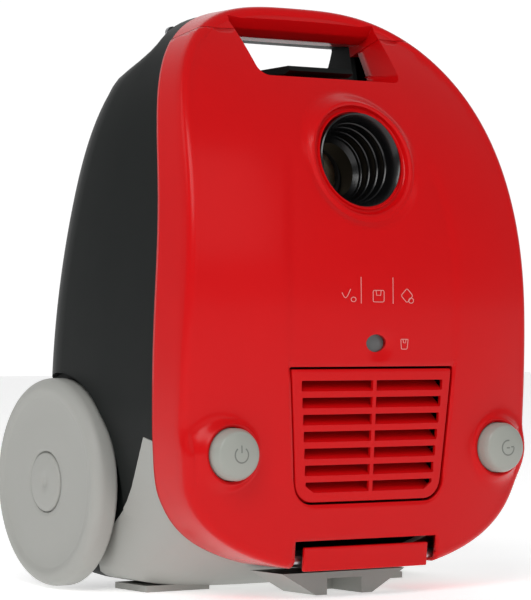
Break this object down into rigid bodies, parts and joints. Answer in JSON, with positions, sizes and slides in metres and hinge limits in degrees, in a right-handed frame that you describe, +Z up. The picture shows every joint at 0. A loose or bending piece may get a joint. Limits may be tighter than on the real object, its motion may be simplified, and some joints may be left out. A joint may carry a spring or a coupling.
{
  "type": "cylinder vacuum cleaner",
  "caption": "Compact bagged cylinder vacuum cleaner parked upright: red hinged cover with hose socket, exhaust grille, push buttons, carrying handle, grey bumper, side wheels and caster.",
  "frame": {"origin": "middle of the footprint at floor level, with the cleaner parked upright on its rear end", "axes": "+Z up, along the cleaner's length towards the hose end; -Y out of the red cover, +Y towards the running side; +X to the right as seen from the cover"},
  "size_m": [0.275, 0.2344, 0.366],
  "materials": {
    "red_gloss": "gloss",
    "dark_shell": "satin",
    "grey_shell": "satin",
    "button_grey": "satin",
    "black_plastic": "satin",
    "white_plastic": "satin",
    "clear_plastic": "clear",
    "rubber": "matte",
    "steel": "brushed",
    "paper": "fibrous",
    "filter_foam": "open-cell foam",
    "copper": "wound wire and laminations"
  },
  "bodies": {
    "chassis": {"lower_tub": "dark_shell", "rear_bumper": "grey_shell", "carrying_handle": "red_gloss", "handle_screw_right": "steel", "handle_screw_left": "steel", "cord_gland": "black_plastic", "hinge_cover": "red_gloss", "hinge_bracket": "dark_shell", "hinge_pin": "steel", "chamber_rim": "dark_shell", "bag_holder": "grey_shell", "bag_collar": "paper", "dust_bag": "paper", "bulkhead": "dark_shell", "filter_frame": "dark_shell", "motor_filter": "filter_foam", "deck_plate": "dark_shell", "fan_housing": "steel", "motor_can": "steel", "stator_core": "copper", "front_bearing": "steel", "rear_bearing": "steel", "front_motor_mount": "rubber", "rear_motor_mount": "rubber", "reel_bracket": "dark_shell", "switch_body": "black_plastic", "axle_left": "steel", "axle_right": "steel", "caster_housing": "dark_shell"},
    "lid": {"top_cover": "red_gloss", "hose_socket": "black_plastic", "socket_seal": "rubber", "indicator_lens": "clear_plastic", "indicator_guide": "black_plastic", "power_button_spring": "steel", "rewind_button_spring": "steel", "lid_inner_plate": "dark_shell", "lid_seal": "rubber", "exhaust_filter": "filter_foam"},
    "latch": {"lid_latch": "dark_shell"},
    "grille": {"exhaust_grille": "red_gloss"},
    "flag": {"indicator_flag": "white_plastic"},
    "power": {"power_button": "button_grey"},
    "rewind": {"rewind_button": "button_grey"},
    "plunger": {"switch_plunger": "white_plastic"},
    "brake": {"brake_lever": "grey_shell"},
    "roller": {"brake_roller": "rubber"},
    "reel": {"reel_drum": "black_plastic", "mainspring_case": "dark_shell"},
    "rotor": {"armature": "copper", "impeller": "steel"},
    "left_wheel": {"wheel_left": "grey_shell", "hub_cap_left": "grey_shell"},
    "right_wheel": {"wheel_right": "grey_shell", "hub_cap_right": "grey_shell"},
    "caster": {"caster_fork": "grey_shell", "caster_pin": "steel"},
    "caster_tyre": {"caster_wheel": "rubber"}
  },
  "joints": [
    {"name": "lid_hinge", "type": "hinge", "parent": "chassis", "child": "lid", "pos_m": [0, -0.09515, 0.024], "axis": [1, 0, 0], "range_deg": [0, 75]},
    {"name": "latch_pivot", "type": "hinge", "parent": "lid", "child": "latch", "pos_m": [0, -0.01815, 0.323], "axis": [-1, 0, 0], "range_deg": [0, 10], "stiffness_Nm_per_rad": 0.05, "springref_deg": -11.46},
    {"name": "grille_tilt", "type": "hinge", "parent": "lid", "child": "grille", "pos_m": [0, -0.10795, 0.06], "axis": [1, 0, 0], "range_deg": [0, 42]},
    {"name": "flag_slide", "type": "slide", "parent": "lid", "child": "flag", "axis": [0, 0, 1], "range_m": [0, 0.006]},
    {"name": "power_press", "type": "slide", "parent": "lid", "child": "power", "axis": [0, 1, 0], "range_m": [0, 0.004], "stiffness_N_per_m": 300, "springref_m": -0.003, "deforming": ["power_button_spring"]},
    {"name": "rewind_press", "type": "slide", "parent": "lid", "child": "rewind", "axis": [0, 1, 0], "range_m": [0, 0.004], "stiffness_N_per_m": 300, "springref_m": -0.003, "deforming": ["rewind_button_spring"]},
    {"name": "switch_press", "type": "slide", "parent": "chassis", "child": "plunger", "axis": [0, 1, 0], "range_m": [0, 0.0042]},
    {"name": "brake_pivot", "type": "hinge", "parent": "chassis", "child": "brake", "pos_m": [0.0992, -0.03515, 0.15], "axis": [1, 0, 0], "range_deg": [0, 4.2]},
    {"name": "roller_spin", "type": "hinge", "parent": "brake", "child": "roller", "pos_m": [0.062, -0.00215, 0.1484], "axis": [0, 1, 0], "continuous": true},
    {"name": "reel_spin", "type": "hinge", "parent": "chassis", "child": "reel", "pos_m": [0.062, -0.00215, 0.092], "axis": [0, 1, 0], "continuous": true},
    {"name": "motor_spin", "type": "hinge", "parent": "chassis", "child": "rotor", "pos_m": [-0.046, 0.01585, 0.1], "axis": [0, 0, 1], "continuous": true},
    {"name": "wheel_left_spin", "type": "hinge", "parent": "chassis", "child": "left_wheel", "pos_m": [-0.129, 0.05195, 0.0668], "axis": [1, 0, 0], "continuous": true},
    {"name": "wheel_right_spin", "type": "hinge", "parent": "chassis", "child": "right_wheel", "pos_m": [0.129, 0.05195, 0.0668], "axis": [1, 0, 0], "continuous": true},
    {"name": "caster_swivel", "type": "hinge", "parent": "chassis", "child": "caster", "pos_m": [0, 0.06585, 0.272], "axis": [0, 1, 0], "continuous": true},
    {"name": "caster_roll", "type": "hinge", "parent": "caster", "child": "caster_tyre", "pos_m": [0, 0.10125, 0.264], "axis": [1, 0, 0], "continuous": true}
  ],
  "couplings": [
    {"joint": "switch_press", "follows": "power_press", "ratio": 1},
    {"joint": "brake_pivot", "follows": "rewind_press", "rad_per_m": 16.4}
  ]
}
